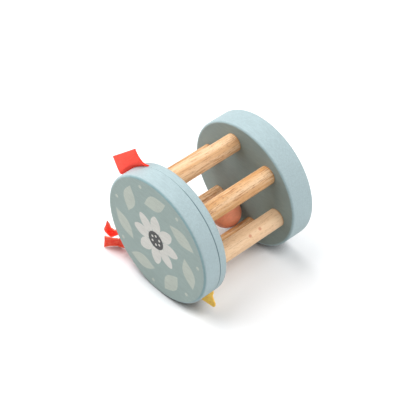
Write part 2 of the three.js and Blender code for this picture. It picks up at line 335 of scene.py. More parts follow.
class Shape:
    """Geometry Nodes trees for the turned pieces and for what repeats round the axle line."""

    def __init__(self) -> None:
        """Build the trees once."""
        self.turned = self._turned_tree()
        self.ring = self._ring_tree()
        self.wheel = self._wheel_tree()
        self.cage = self._cage_tree()

    @staticmethod
    def _turned_tree() -> bpy.types.NodeTree:
        """Solid turned round Y, with a round at each end of its rim.

        Returns:
            The tree.
        """
        inputs = dict.fromkeys(TURNED_SIZES, 0.0) | {"Sides": 64, "Round Steps": 6}
        group = GroupBuilder("Turned Solid", "GeometryNodeTree", inputs, {"Mesh": "Geometry"})
        radius, low, high, low_round, high_round, support, sides, steps = group.given.values()
        points = (
            (0.0, low, 0.0),
            (radius - low_round - support, low, 0.0),
            (radius, low, low_round),
            (radius, low + low_round + support, 0.0),
            (radius, high - high_round - support, 0.0),
            (radius, high, high_round),
            (radius - high_round - support, high, 0.0),
            (0.0, high, 0.0),
        )
        index = group.result("GeometryNodeInputIndex")
        place = group.node("GeometryNodeIndexSwitch", data_type="VECTOR")
        fillet = group.node("GeometryNodeIndexSwitch", data_type="FLOAT")
        for switch in (place, fillet):
            while len(switch.index_switch_items) < len(points):
                switch.index_switch_items.new()
            group.fill(switch.inputs[0], index)
        for item, (across, axial, corner_round) in enumerate(points, start=1):
            group.fill(place.inputs[item], group.vector(across, axial, 0.0))
            group.fill(fillet.inputs[item], corner_round)

        line = group.result("GeometryNodeMeshLine", {"Count": len(points)})
        curve = group.result("GeometryNodeMeshToCurve", {"Mesh": line})
        placed = group.result("GeometryNodeSetPosition", {"Geometry": curve, "Position": place.outputs[0]})
        rounds = {"Curve": placed, "Count": steps, "Radius": fillet.outputs[0]}
        profile = group.result("GeometryNodeFilletCurve", rounds, mode="POLY")

        whole = {"Geometry": profile}
        count = group.result("GeometryNodeAttributeDomainSize", whole, "Point Count", component="CURVE")
        grid = group.result("GeometryNodeMeshGrid", {"Vertices X": sides + 1, "Vertices Y": count})
        column = group.math("FLOOR", (index + 0.5) / count)
        position = group.result("GeometryNodeInputPosition")
        read = {"Geometry": profile, "Value": position, "Index": index - column * count}
        sample = group.result("GeometryNodeSampleIndex", read, data_type="FLOAT_VECTOR", domain="POINT")
        across, axial, _ = group.parts(sample)
        angle = column * (TURN / sides)
        x, z = across * group.math("COSINE", angle), across * group.math("SINE", angle)
        placed = {"Geometry": grid, "Position": group.vector(x, axial, z)}
        lathe = group.result("GeometryNodeSetPosition", placed)
        merged = group.result("GeometryNodeMergeByDistance", {"Geometry": lathe, "Distance": MERGE_REACH})
        return group.close(merged)

    @staticmethod
    def _ring_tree() -> bpy.types.NodeTree:
        """Points spaced evenly round the axle line.

        Returns:
            The tree.
        """
        inputs = {"Count": 6, "Circle Radius": 0.0, "First Angle": 0.0}
        group = GroupBuilder("Ring Of Points", "GeometryNodeTree", inputs, {"Points": "Geometry"})
        count, circle_radius, first_angle = group.given.values()
        angle = first_angle + group.result("GeometryNodeInputIndex") * (TURN / count)
        x = group.math("SINE", angle) * (circle_radius * -1.0)
        place = group.vector(x, 0.0, group.math("COSINE", angle) * circle_radius)
        return group.close(group.result("GeometryNodePoints", {"Count": count, "Position": place}))

    @staticmethod
    def _finish(group: GroupBuilder, mesh: Term, sharp_angle: float) -> Term:
        """Smooth a mesh, keep its sharp edges and give it the group's material.

        Args:
            group: The group under way.
            mesh: The mesh.
            sharp_angle: Angle in radians past which an edge stays sharp.

        Returns:
            The finished mesh.
        """
        inputs = {"Geometry": mesh, "Shade Smooth": True}
        smooth = group.result("GeometryNodeSetShadeSmooth", inputs, domain="FACE")
        angle = group.result("GeometryNodeInputMeshEdgeAngle", output="Unsigned Angle")
        sharp = group.math("GREATER_THAN", angle, sharp_angle)
        inputs = {"Geometry": smooth, "Selection": sharp, "Shade Smooth": False}
        edged = group.result("GeometryNodeSetShadeSmooth", inputs, domain="EDGE")
        inputs = {"Geometry": edged, "Material": group.given["Material"]}
        return group.result("GeometryNodeSetMaterial", inputs)

    def _wheel_tree(self) -> bpy.types.NodeTree:
        """Wheel layer with a ring of dowel holes and the pockets of an object cut into it.

        Returns:
            The tree.
        """
        inputs = dict.fromkeys(TURNED_SIZES + HOLE_SIZES, 0.0)
        inputs |= {"Hole Count": 6, "Pockets": bpy.types.Object, "Material": bpy.types.Material}
        group = GroupBuilder("Wheel Layer", "GeometryNodeTree", inputs, {"Mesh": "Geometry"})
        given = group.given
        disc = {name: given[name] for name in TURNED_SIZES}
        disc |= {"Sides": WHEEL_SIDES, "Round Steps": WHEEL_ROUND_STEPS}
        hole = {name: given[f"Hole {name}"] for name in ("Radius", "Low", "High")} | {"Sides": DOWEL_SIDES}
        circle = {name: given[name] for name in ("Circle Radius", "First Angle")}
        circle |= {"Count": given["Hole Count"]}
        body = group.result("GeometryNodeGroup", disc, node_tree=self.turned)
        plug = group.result("GeometryNodeGroup", hole, node_tree=self.turned)
        ring = group.result("GeometryNodeGroup", circle, node_tree=self.ring)
        plugs = group.result("GeometryNodeInstanceOnPoints", {"Points": ring, "Instance": plug})
        cut = group.node("GeometryNodeMeshBoolean", {"Mesh 1": body}, operation="DIFFERENCE", solver="EXACT")
        group.fill(cut.inputs["Mesh 2"], group.result("GeometryNodeRealizeInstances", {0: plugs}))
        pockets = group.result("GeometryNodeObjectInfo", {"Object": given["Pockets"]}, "Geometry")
        group.fill(cut.inputs["Mesh 2"], pockets)
        return group.close(self._finish(group, Term(group, cut.outputs[0]), WHEEL_SHARP))

    def _cage_tree(self) -> bpy.types.NodeTree:
        """Dowels on a ring, each turned its own way and with its own tone.

        Returns:
            The tree.
        """
        sizes = ("Radius", "Low", "High", "End Round", "End Support", "Circle Radius", "First Angle")
        inputs = dict.fromkeys(sizes, 0.0) | {"Count": 6, "Seed": 0, "Material": bpy.types.Material}
        group = GroupBuilder("Dowel Cage", "GeometryNodeTree", inputs, {"Mesh": "Geometry"})
        given = group.given
        stick = {name: given[name] for name in ("Radius", "Low", "High")}
        stick |= {"Low Round": given["End Round"], "High Round": given["End Round"]}
        stick |= {"Support": given["End Support"], "Sides": DOWEL_SIDES}
        dowel = group.result("GeometryNodeGroup", stick, node_tree=self.turned)
        circle = {name: given[name] for name in ("Count", "Circle Radius", "First Angle")}
        ring = group.result("GeometryNodeGroup", circle, node_tree=self.ring)

        random = group.result("FunctionNodeRandomValue", {"Seed": given["Seed"]}, 1, data_type="FLOAT")
        spin = group.vector(0.0, random * TURN, 0.0)
        inputs = {"Points": ring, "Instance": dowel, "Rotation": spin}
        dowels = group.result("GeometryNodeInstanceOnPoints", inputs)
        inputs = {"Geometry": dowels, "Name": "tone", "Value": random}
        toned = group.result("GeometryNodeStoreNamedAttribute", inputs, data_type="FLOAT", domain="INSTANCE")
        realised = group.result("GeometryNodeRealizeInstances", {0: toned})
        return group.close(self._finish(group, realised, DOWEL_SHARP))


def linked(name: str, mesh: bpy.types.Mesh) -> bpy.types.Object:
    """Put a mesh into the scene as an object at the origin.

    Args:
        name: The object's name.
        mesh: The mesh.

    Returns:
        The object.
    """
    made = bpy.data.objects.new(name, mesh)
    bpy.context.scene.collection.objects.link(made)
    return made


def applied(name: str, holder: bpy.types.Object) -> bpy.types.Object:
    """Make a plain object of what an object's modifiers give, in its stead.

    Args:
        name: The piece's name.
        holder: The object with its modifiers.

    Returns:
        The piece, with no modifier left on it.
    """
    graph = bpy.context.evaluated_depsgraph_get()
    mesh = bpy.data.meshes.new_from_object(holder.evaluated_get(graph), depsgraph=graph)
    bpy.data.objects.remove(holder)
    mesh.name = name
    return linked(name, mesh)


def grown(name: str, tree: bpy.types.NodeTree, values: dict[str, Value]) -> bpy.types.Object:
    """Make a plain mesh object from a Geometry Nodes tree.

    Args:
        name: The piece's name.
        tree: The tree.
        values: The tree's inputs by name.

    Returns:
        The piece.
    """
    holder = linked(f"{name}_tree", bpy.data.meshes.new(f"{name}_tree"))
    modifier = holder.modifiers.new("Shape", "NODES")
    modifier.node_group = tree
    for item in tree.interface.items_tree:
        if item.name in values:
            modifier[item.identifier] = values[item.name]
    return applied(name, holder)


def from_bmesh(name: str, mesh: bmesh.types.BMesh) -> bpy.types.Mesh:
    """Turn a mesh under way into mesh data, and free it.

    Args:
        name: The name of the data.
        mesh: The mesh under way.

    Returns:
        The mesh data.
    """
    data = bpy.data.meshes.new(name)
    mesh.to_mesh(data)
    mesh.free()
    return data


def settle(piece: bpy.types.Object, body: Body, slot: Slot, *nodes: str) -> None:
    """Tie a finished piece to the frame.

    Args:
        piece: The piece.
        body: The body that it rides on.
        slot: The material slot meant for it; not used.
        *nodes: The nodes that it stands for.
    """
    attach(piece, body.value)
    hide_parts(*nodes)
    log.info("%s: %d faces on %s", piece.name, len(piece.data.polygons), body.value)


class Effects:
    """Shader groups that more than one finish uses."""

    def __init__(self) -> None:
        """Build the groups once."""
        self.fibre = self._fibre()
        self.mottle = self._mottle()
        self.weave = self._weave()
        self.ovals = self._ovals()

    @staticmethod
    def _fibre() -> bpy.types.NodeTree:
        """Fine streaks that run one way, as wood fibre under paint or on bare wood.

        Returns:
            The group.
        """
        inputs = {"Vector": ORIGIN, "Stretch": (1.0, 1.0, 1.0), "Scale": 500.0, "Detail": 4.0}
        group = GroupBuilder("Wood Fibre", "ShaderNodeTree", inputs, {"Value": "Float"})
        vector, stretch, scale, detail = group.given.values()
        placed = group.vector_math("MULTIPLY", vector, stretch)
        sockets = {"Vector": placed, "Scale": scale, "Detail": detail, "Roughness": FIBRE_ROUGHNESS}
        return group.close(group.ramp(group.result("ShaderNodeTexNoise", sockets), *FIBRE_SHOWN))

    @staticmethod
    def _mottle() -> bpy.types.NodeTree:
        """Broad soft unevenness of a colour, as a factor round 1.

        Returns:
            The group.
        """
        inputs = {"Vector": ORIGIN, "Scale": 60.0, "Amount": 0.05}
        group = GroupBuilder("Mottle", "ShaderNodeTree", inputs, {"Factor": "Float"})
        vector, scale, amount = group.given.values()
        sockets = {"Vector": vector, "Scale": scale, "Detail": CLOUD_DETAIL}
        cloud = group.result("ShaderNodeTexNoise", sockets)
        return group.close((cloud - 0.5) * amount * 2.0 + 1.0)

    @staticmethod
    def _weave() -> bpy.types.NodeTree:
        """Plain weave of a ribbon on its own UV map, which is in metres.

        Returns:
            The group, with the height of the threads and the shade between them.
        """
        inputs = {"UV": ORIGIN, "Weft Pitch": 0.5 * MM, "Warp Pitch": 0.3 * MM}
        outputs = {"Height": "Float", "Gap": "Float"}
        group = GroupBuilder("Ribbon Weave", "ShaderNodeTree", inputs, outputs)
        uv, weft_pitch, warp_pitch = group.given.values()
        length, width, _ = group.parts(uv)
        weft = length / weft_pitch
        warp = width / warp_pitch + group.math("PINGPONG", group.math("FLOOR", weft), 1.0) * 0.5
        weft_wave, warp_wave = (abs(group.math("SINE", way * math.pi)) for way in (weft, warp))
        height = group.math("POWER", weft_wave, WEFT_POWER) * group.math("POWER", warp_wave, WARP_POWER)
        return group.close(height, group.ramp(height, *GAP_SHOWN, 1.0, 0.0))

    @staticmethod
    def _ovals() -> bpy.types.NodeTree:
        """Mask of ovals spaced evenly on a circle round the axle line.

        Returns:
            The group.
        """
        sizes = ("Circle Radius", "Half Length", "Half Width", "Tilt", "Turn", "Point")
        inputs = {"Vector": ORIGIN, "Count": 8.0} | dict.fromkeys(sizes, 0.0)
        group = GroupBuilder("Ring Of Ovals", "ShaderNodeTree", inputs, {"Mask": "Float"})
        vector, count, circle_radius, half_length, half_width, tilt, turn, point = group.given.values()
        x, _, z = group.parts(vector)
        share = TURN / count
        angle = (group.math("ARCTAN2", x, z) + turn + share / 2.0) % share - share / 2.0
        radius = group.from_axle(x, z)
        out = radius * group.math("COSINE", angle) - circle_radius
        side = radius * group.math("SINE", angle)
        cosine, sine = group.math("COSINE", tilt), group.math("SINE", tilt)
        reach = (out * cosine + side * sine) / half_length
        width = half_width * (1.0 - point * (reach * reach))
        span = (side * cosine - out * sine) / group.math("MAXIMUM", width, LEAST_OVAL_WIDTH)
        return group.close(group.ramp(reach * reach + span * span, *OVAL_EDGE, 1.0, 0.0))


@dataclass(frozen=True)
class Workshop:
    """What the sub-assemblies share: the rattle's sizes, the trees and the shader groups."""

    sizes: RattleSizes
    shape: Shape
    effects: Effects


@dataclass(frozen=True)
class Grain:
    """Streaks of fibre: how each axis is drawn out, where less is longer, their scale and their detail."""

    stretch: tuple[float, float, float]
    scale: float
    detail: float = 4.0


class Finish(NodeBuilder):
    """Start of a finish: a material with one shader, its coordinates and the shared effects."""

    def __init__(self, name: str, roughness: float, effects: Effects) -> None:
        """Make the material with its shader.

        Args:
            name: The material's name.
            roughness: The shader's roughness.
            effects: The shared shader groups.
        """
        self.material = bpy.data.materials.new(name)
        super().__init__(cleared_tree(self.material))
        self.effects = effects
        self.shader = self.node("ShaderNodeBsdfPrincipled", {"Roughness": roughness})
        self.node("ShaderNodeOutputMaterial", {"Surface": self.shader.outputs[0]})
        coordinates = self.node("ShaderNodeTexCoord").outputs
        self.place = Term(self, coordinates["Object"])
        self.uv = Term(self, coordinates["UV"])

    def effect(self, group: bpy.types.NodeTree, **inputs: Value) -> Term:
        """First output of a shared effect, whose inputs are named with underscores for spaces."""
        sockets = {name.replace("_", " "): value for name, value in inputs.items()}
        return self.result("ShaderNodeGroup", {"Vector": self.place} | sockets, node_tree=group)

    def grain(self, grain: Grain, vector: Term | None = None) -> Term:
        """Streaks of fibre, on the object's coordinates or on others."""
        sockets = {"Stretch": grain.stretch, "Scale": grain.scale, "Detail": grain.detail}
        return self.effect(self.effects.fibre, Vector=vector or self.place, **sockets)

    def cloud(self, scale: float, amount: float) -> Term:
        """Broad soft unevenness, as a factor."""
        return self.effect(self.effects.mottle, Scale=scale, Amount=amount)

    def mix(self, share: Value, low: Value, high: Value, blend: str = "MIX") -> Term:
        """Mix of two colours.

        Args:
            share: How much of the second colour shows.
            low: The first colour.
            high: The second colour.
            blend: How they mix.

        Returns:
            The mixed colour.
        """
        colours = ((*value, 1.0) if isinstance(value, tuple) else value for value in (low, high))
        inputs = dict(zip((0, 6, 7), (share, *colours)))
        return self.result("ShaderNodeMix", inputs, 2, data_type="RGBA", blend_type=blend)

    def tint(self, colour: Value, *factors: Term) -> Term:
        """A colour times some factors.

        Args:
            colour: The colour.
            *factors: The factors.

        Returns:
            The changed colour.
        """
        for factor in factors:
            colour = self.vector_math("MULTIPLY", colour, factor)
        return colour

    def relief(self, *layers: tuple[Value, float, float]) -> Term:
        """Normal of reliefs that lie on each other.

        Args:
            *layers: Height from 0 to 1, depth in metres and strength of each, the lowest first.

        Returns:
            The normal.
        """
        below = {}
        for height, depth, strength in layers:
            inputs = {"Height": height, "Distance": depth, "Strength": strength}
            normal = self.result("ShaderNodeBump", inputs | below)
            below = {"Normal": normal}
        return normal

    def close(self, colour: Value, normal: Value, **others: Value) -> bpy.types.Material:
        """Feed the shader.

        Args:
            colour: The base colour.
            normal: The normal.
            **others: Other inputs of the shader, with underscores for spaces.

        Returns:
            The finished material.
        """
        inputs = {"Base Color": colour, "Normal": normal}
        inputs |= {name.replace("_", " "): value for name, value in others.items()}
        for name, value in inputs.items():
            self.fill(self.shader.inputs[name], value)
        return self.material


@dataclass(frozen=True)
class PrintRow:
    """Ovals of one ink on a circle, in shares of the wheel's radius, with angles in degrees."""

    ink: Colour
    count: int
    circle: float
    half_length: float
    half_width: float
    tilt: float = 0.0
    turn: float = 0.0
    point: float = 0.0


PALE_GREEN = srgb(187, 195, 185)
OFF_WHITE = srgb(213, 212, 206)
CHARCOAL = srgb(78, 79, 80)
FLOWER_PRINT = (
    PrintRow(PALE_GREEN, count=7, circle=0.68, half_length=0.25, half_width=0.12, tilt=58, point=0.75),
    PrintRow(PALE_GREEN, count=7, circle=0.85, half_length=0.03, half_width=0.03, turn=20),
    PrintRow(OFF_WHITE, count=8, circle=0.28, half_length=0.165, half_width=0.1, point=0.2),
    PrintRow(CHARCOAL, count=1, circle=0.0, half_length=0.15, half_width=0.15),
    PrintRow(OFF_WHITE, count=6, circle=0.08, half_length=0.02, half_width=0.02),
)


@dataclass(frozen=True)
class WheelPaint:
    """Matt paint over fine wood, whose fibre shows faintly.

    The flat faces are duller than the rim. The rear wheel's inner face, between the wheels, is darker still
    as painted shade. A darker line of painted shade follows two of the rounds in the upper right, and the
    seam is a dark joint painted darker in the lower right as painted shade. Where these two sides start and
    end is in shares of the wheel's radius, and the other places are distances from the rim or from a face.
    """

    name: str
    printed: bool = False
    rim: Colour = srgb(165, 184, 188)
    face: Colour = srgb(155, 172, 168)
    face_edge: Pair = (-1.6 * MM, -0.7 * MM)
    # painted shade: colour of the rear wheel's inner face between the wheels, darker than the other faces
    inner: Colour = srgb(136, 151, 148)
    inner_reach: Pair = (0.2 * MM, 0.6 * MM)
    # painted shade: a darker line along the rounds of the printed face and the rear wheel's inner face, on
    # the upper right side only
    edge: Colour = srgb(130, 163, 168)
    edge_depths: Pair = (0.8, 0.4)
    edge_start: Pair = (-0.2 * MM, 0.4 * MM)
    edge_end: Pair = (-0.55 * MM, -0.05 * MM)
    edge_reach: Pair = (0.5 * MM, 1.3 * MM)
    upper_right: Pair = (-0.15, 0.6)
    # the seam's dark joint line, painted darker towards the lower right as painted shade
    seam: Colour = srgb(70, 98, 108)
    seam_depth: float = 0.7
    seam_reach: Pair = (0.1 * MM, 0.45 * MM)
    lower_right: Pair = (-1.1, -0.2)
    fibre: Grain = Grain((0.12, 1.0, 1.0), 1500.0)
    fibre_shade: Pair = (0.94, 1.05)
    fibre_relief: Pair = (0.05 * MM, 0.35)
    speck: Grain = Grain((1.0, 1.0, 1.0), 2600.0)
    speck_shown: Pair = (0.1, 0.9)
    speck_shade: Pair = (0.95, 1.04)
    speck_relief: Pair = (0.03 * MM, 0.3)
    cloud: Pair = (90.0, 0.05)
    print_reach: Pair = (0.3 * MM, 0.5 * MM)
    roughness: float = 0.58
    shine: float = 0.35

    def make(self, shop: Workshop) -> bpy.types.Material:
        """Build the material.

        Args:
            shop: What the sub-assemblies share.

        Returns:
            The material.
        """
        sizes, rim = shop.sizes, shop.sizes.wheel_radius
        finish = Finish(self.name, self.roughness, shop.effects)
        x, y, z = finish.parts(finish.place)
        radius = finish.from_axle(x, z)
        # painted shade: near the rear wheel's inner face the paint turns to the darker inner colour
        at_painted_inner_shade = finish.ramp(abs(y - sizes.rear_cage_face), *self.inner_reach, 1.0, 0.0)
        on_face = finish.ramp(radius, *(rim + place for place in self.face_edge), 1.0, 0.0)
        base = finish.mix(on_face, self.rim, finish.mix(at_painted_inner_shade, self.face, self.inner))
        # painted shade along the two rounds, faded out away from the upper right
        upper_right = finish.ramp(x + z, *(share * rim for share in self.upper_right))
        edges = ((sizes.printed_face, OUTER_ROUND), (sizes.rear_cage_face, CAGE_ROUND))
        for (face, edge_round), depth in zip(edges, self.edge_depths):
            start = finish.ramp(radius, *(rim - edge_round + place for place in self.edge_start))
            end = finish.ramp(radius, *(rim + place for place in self.edge_end), 1.0, 0.0)
            near = finish.ramp(abs(y - face), *self.edge_reach, depth, 0.0)
            base = finish.mix(start * end * near * upper_right, base, self.edge)
        # dark joint along the seam, with painted shade that makes it darker towards the lower right
        at_seam = finish.ramp(abs(y - sizes.seam_face), *self.seam_reach, 1.0, 0.0)
        lower_right = finish.ramp(x - z, *(share * rim for share in self.lower_right), 0.0, self.seam_depth)
        base = finish.mix(at_seam * lower_right, base, self.seam)
        if self.printed:
            base = self._print(finish, sizes, base)
        fibre, speck = finish.grain(self.fibre), finish.grain(self.speck)
        shade = finish.ramp(fibre, 0.0, 1.0, *self.fibre_shade)
        shade = shade * finish.ramp(speck, *self.speck_shown, *self.speck_shade)
        base = finish.tint(base, finish.cloud(*self.cloud), shade)
        normal = finish.relief((fibre, *self.fibre_relief), (speck, *self.speck_relief))
        return finish.close(base, normal, Specular_IOR_Level=self.shine)

    def _print(self, finish: Finish, sizes: RattleSizes, base: Term) -> Term:
        """Print the face: a wreath of leaves round a flower with a dotted centre.

        Args:
            finish: The finish under way.
            sizes: The rattle's sizes.
            base: The colour under the print.

        Returns:
            The colour with the print.
        """
        from_face = finish.parts(finish.place)[1] - sizes.printed_face
        at_face = finish.ramp(from_face, *self.print_reach, 1.0, 0.0)
        for row in FLOWER_PRINT:
            mask = finish.effect(
                finish.effects.ovals,
                Count=float(row.count),
                Circle_Radius=row.circle * sizes.wheel_radius,
                Half_Length=row.half_length * sizes.wheel_radius,
                Half_Width=row.half_width * sizes.wheel_radius,
                Tilt=math.radians(row.tilt),
                Turn=math.radians(row.turn),
                Point=row.point,
            )
            base = finish.mix(mask * at_face, base, row.ink)
        return base


@dataclass(frozen=True)
class BeechFinish:
    """Bare sanded beech with streaks, fine ray flecks and a few pin knots, with painted shade where the
    dowels go into the rear wheel.
    """

    name: str = "beech"
    light: Colour = srgb(228, 192, 151)
    middle: Colour = srgb(207, 154, 98)
    dark: Colour = srgb(172, 111, 55)
    pale: Colour = srgb(236, 203, 166)
    fleck: Colour = srgb(150, 96, 58)
    knot: Colour = srgb(208, 138, 104)
    knot_edge: Pair = (0.5 * MM, 1.25 * MM)
    knot_depth: float = 0.85
    bands: Grain = Grain((1.0, 0.05, 1.0), 300.0, detail=2.0)
    bands_shown: Pair = (0.15, 0.85)
    streaks: Grain = Grain((1.0, 0.05, 1.0), 1200.0)
    streaks_shown: Pair = (0.45, 0.95)
    streak_depth: float = 0.9
    streak_relief: Pair = (0.05 * MM, 0.35)
    pores: Grain = Grain((1.0, 0.12, 1.0), 3200.0, detail=1.0)
    pores_shown: Pair = (0.7, 0.92)
    pore_relief: Pair = (0.06 * MM, 0.45)
    pale_tones: Pair = (0.6, 0.95)
    pale_depth: float = 0.65
    fleck_streaks: Pair = (0.2, 0.6)
    fleck_streak_depths: Pair = (0.35, 1.0)
    fleck_tone_depths: Pair = (0.65, 0.35)
    lighter_tones: Pair = (0.0, 0.6)
    lighter_shade: Pair = (1.0, 1.03)
    # painted shade: the wood darkens towards the streak colour where the dowels go into the rear wheel
    wheel_reach: Pair = (0.2 * MM, 0.8 * MM)
    wheel_shade: float = 0.6
    roughness: float = 0.5
    shine: float = 0.5

    def make(self, shop: Workshop, knots: Sequence[Vector]) -> bpy.types.Material:
        """Build the material.

        Args:
            shop: What the sub-assemblies share.
            knots: Places of the pin knots.

        Returns:
            The material.
        """
        finish = Finish(self.name, self.roughness, shop.effects)
        tone = finish.result("ShaderNodeAttribute", output="Fac", attribute_name="tone")
        shifted = finish.vector_math("ADD", finish.place, finish.vector(tone, tone, 0.0))
        streaks, bands, pores = (finish.grain(g, shifted) for g in (self.streaks, self.bands, self.pores))
        base = finish.mix(finish.ramp(bands, *self.bands_shown), self.middle, self.light)
        base = finish.mix(finish.ramp(streaks, *self.streaks_shown, 0.0, self.streak_depth), base, self.dark)
        base = finish.mix(finish.ramp(tone, *self.pale_tones, 0.0, self.pale_depth), base, self.pale)
        flecks = finish.ramp(pores, *self.pores_shown)
        flecks = flecks * finish.ramp(streaks, *self.fleck_streaks, *self.fleck_streak_depths)
        flecks = flecks * finish.ramp(tone, *self.pale_tones, *self.fleck_tone_depths)
        base = finish.mix(flecks, base, self.fleck)
        base = finish.tint(base, finish.ramp(tone, *self.lighter_tones, *self.lighter_shade))
        for place in knots:
            distance = finish.vector_math("DISTANCE", finish.place, place, output="Value")
            near = finish.ramp(distance, *self.knot_edge, self.knot_depth, 0.0)
            base = finish.mix(near, base, self.knot)
        # painted shade where each dowel goes into the rear wheel
        from_wheel = shop.sizes.rear_cage_face - finish.parts(finish.place)[1]
        in_painted_end_shade = finish.ramp(from_wheel, *self.wheel_reach, self.wheel_shade, 0.0)
        base = finish.mix(in_painted_end_shade, base, self.dark)
        normal = finish.relief((streaks, *self.streak_relief), (pores, *self.pore_relief))
        return finish.close(base, normal, Specular_IOR_Level=self.shine)


@dataclass(frozen=True)
class BallPaint:
    """Satin paint on a turned wooden ball."""

    name: str = "ball_paint"
    colour: Colour = srgb(250, 158, 122)
    cloud: Pair = (320.0, 0.1)
    fibre: Grain = Grain((1.0, 0.2, 1.0), 1400.0)
    fibre_shade: Pair = (0.93, 1.04)
    fibre_relief: Pair = (0.05 * MM, 0.4)
    roughness: float = 0.42
    shine: float = 0.45

    def make(self, shop: Workshop) -> bpy.types.Material:
        """Build the material.

        Args:
            shop: What the sub-assemblies share.

        Returns:
            The material.
        """
        finish = Finish(self.name, self.roughness, shop.effects)
        fibre = finish.grain(self.fibre)
        shade = finish.ramp(fibre, 0.0, 1.0, *self.fibre_shade)
        base = finish.tint(self.colour, finish.cloud(*self.cloud), shade)
        normal = finish.relief((fibre, *self.fibre_relief))
        return finish.close(base, normal, Specular_IOR_Level=self.shine)


@dataclass(frozen=True)
class RibbonFinish:
    """Woven ribbon: dyed threads, deeper gaps between them and its own selvedge. Its creases are painted
    shade and painted highlight from a noise, and its emission is painted light, as if the cloth gave off
    light.
    """

    name: str
    thread: Colour
    gap: Colour
    selvedge: Colour
    width: float
    weft_pitch: float
    warp_pitch: float
    gap_depth: float = 0.6
    selvedge_reach: Pair = (0.4 * MM, 0.9 * MM)
    selvedge_depth: float = 0.7
    weave_relief: Pair = (0.08 * MM, 0.4)
    # painted shade and painted highlight for creases: how strongly a noise darkens the cloth towards the gap
    # colour and lightens it towards the selvedge colour
    crease: float = 0.0
    crease_scale: float = 640.0
    crease_detail: float = 2.0
    crease_dark: Pair = (0.5, 0.72)
    crease_light: Pair = (0.32, 0.56)
    crease_light_share: float = 0.8
    # painted light: emission that makes the ribbon give off light though it is no lamp, and its tint
    glow: float = 0.0
    glow_hue: Colour = (1.0, 0.55, 0.45)
    pile: Grain = Grain((1.0, 0.15, 1.0), 1500.0, detail=3.0)
    pile_shade: Pair = (0.8, 1.08)
    cloud: Pair = (200.0, 0.06)
    sheen: float = 0.8
    roughness: float = 0.72
    shine: float = 0.15

    def make(self, shop: Workshop) -> bpy.types.Material:
        """Build the material.

        Args:
            shop: What the sub-assemblies share.

        Returns:
            The material.
        """
        finish = Finish(self.name, self.roughness, shop.effects)
        threads = {"UV": finish.uv, "Weft Pitch": self.weft_pitch, "Warp Pitch": self.warp_pitch}
        weave = finish.node("ShaderNodeGroup", threads, node_tree=shop.effects.weave).outputs
        to_edge = self.width / 2 - abs(finish.parts(finish.uv)[1] - self.width / 2)
        base = finish.mix(Term(finish, weave["Gap"]) * self.gap_depth, self.thread, self.gap)
        at_edge = finish.ramp(to_edge, *self.selvedge_reach, self.selvedge_depth, 0.0)
        base = finish.mix(at_edge, base, self.selvedge)
        # painted shade and painted highlight for creases, from a noise, not from the mesh
        if self.crease:
            cloth = {"Vector": finish.place, "Scale": self.crease_scale, "Detail": self.crease_detail}
            painted_crease_noise = finish.result("ShaderNodeTexNoise", cloth)
            base = finish.mix(finish.ramp(painted_crease_noise, *self.crease_dark, 0.0, self.crease), base, self.gap)
            depth = self.crease * self.crease_light_share
            base = finish.mix(finish.ramp(painted_crease_noise, *self.crease_light, depth, 0.0), base, self.selvedge)
        shade = finish.ramp(finish.grain(self.pile, finish.uv), 0.0, 1.0, *self.pile_shade)
        base = finish.tint(base, finish.cloud(*self.cloud), shade)
        return finish.close(
            base,
            finish.relief((weave["Height"], *self.weave_relief)),
            Sheen_Weight=self.sheen,
            Sheen_Tint=(*self.thread, 1.0),
            Specular_IOR_Level=self.shine,
            # painted light: the ribbon's emission, tinted towards red
            Emission_Color=finish.mix(1.0, base, self.glow_hue, blend="MULTIPLY"),
            Emission_Strength=self.glow,
        )


# the emission strength of each ribbon below is painted light
CORAL_TAG = RibbonFinish(
    "coral_tag", srgb(255, 92, 77), srgb(252, 54, 42), srgb(255, 72, 58), 25 * MM, 0.45 * MM, 0.3 * MM,
    glow=0.3,
)
CORAL_TAIL = RibbonFinish(
    "coral_tail", srgb(255, 100, 82), srgb(250, 54, 40), srgb(255, 144, 116), 10 * MM, 0.55 * MM, 0.35 * MM,
    crease=0.5, glow=0.28,
)
MUSTARD_TAB = RibbonFinish(
    "mustard_tab", srgb(255, 216, 112), srgb(238, 176, 68), srgb(250, 194, 84), 20 * MM, 0.55 * MM, 0.45 * MM,
    glow=0.15, glow_hue=(1.0, 0.85, 0.6),
)


@dataclass(frozen=True)
class WheelLayer:
    """Layer of a wheel: its name, its node, its faces, rounds and hole ends from low to high along Y, the
    object whose boxes are cut into it, its slot and its paint."""

    name: str
    node: str
    faces: Pair
    rounds: Pair
    holes: Pair
    pockets: bpy.types.Object
    slot: Slot
    paint: bpy.types.Material


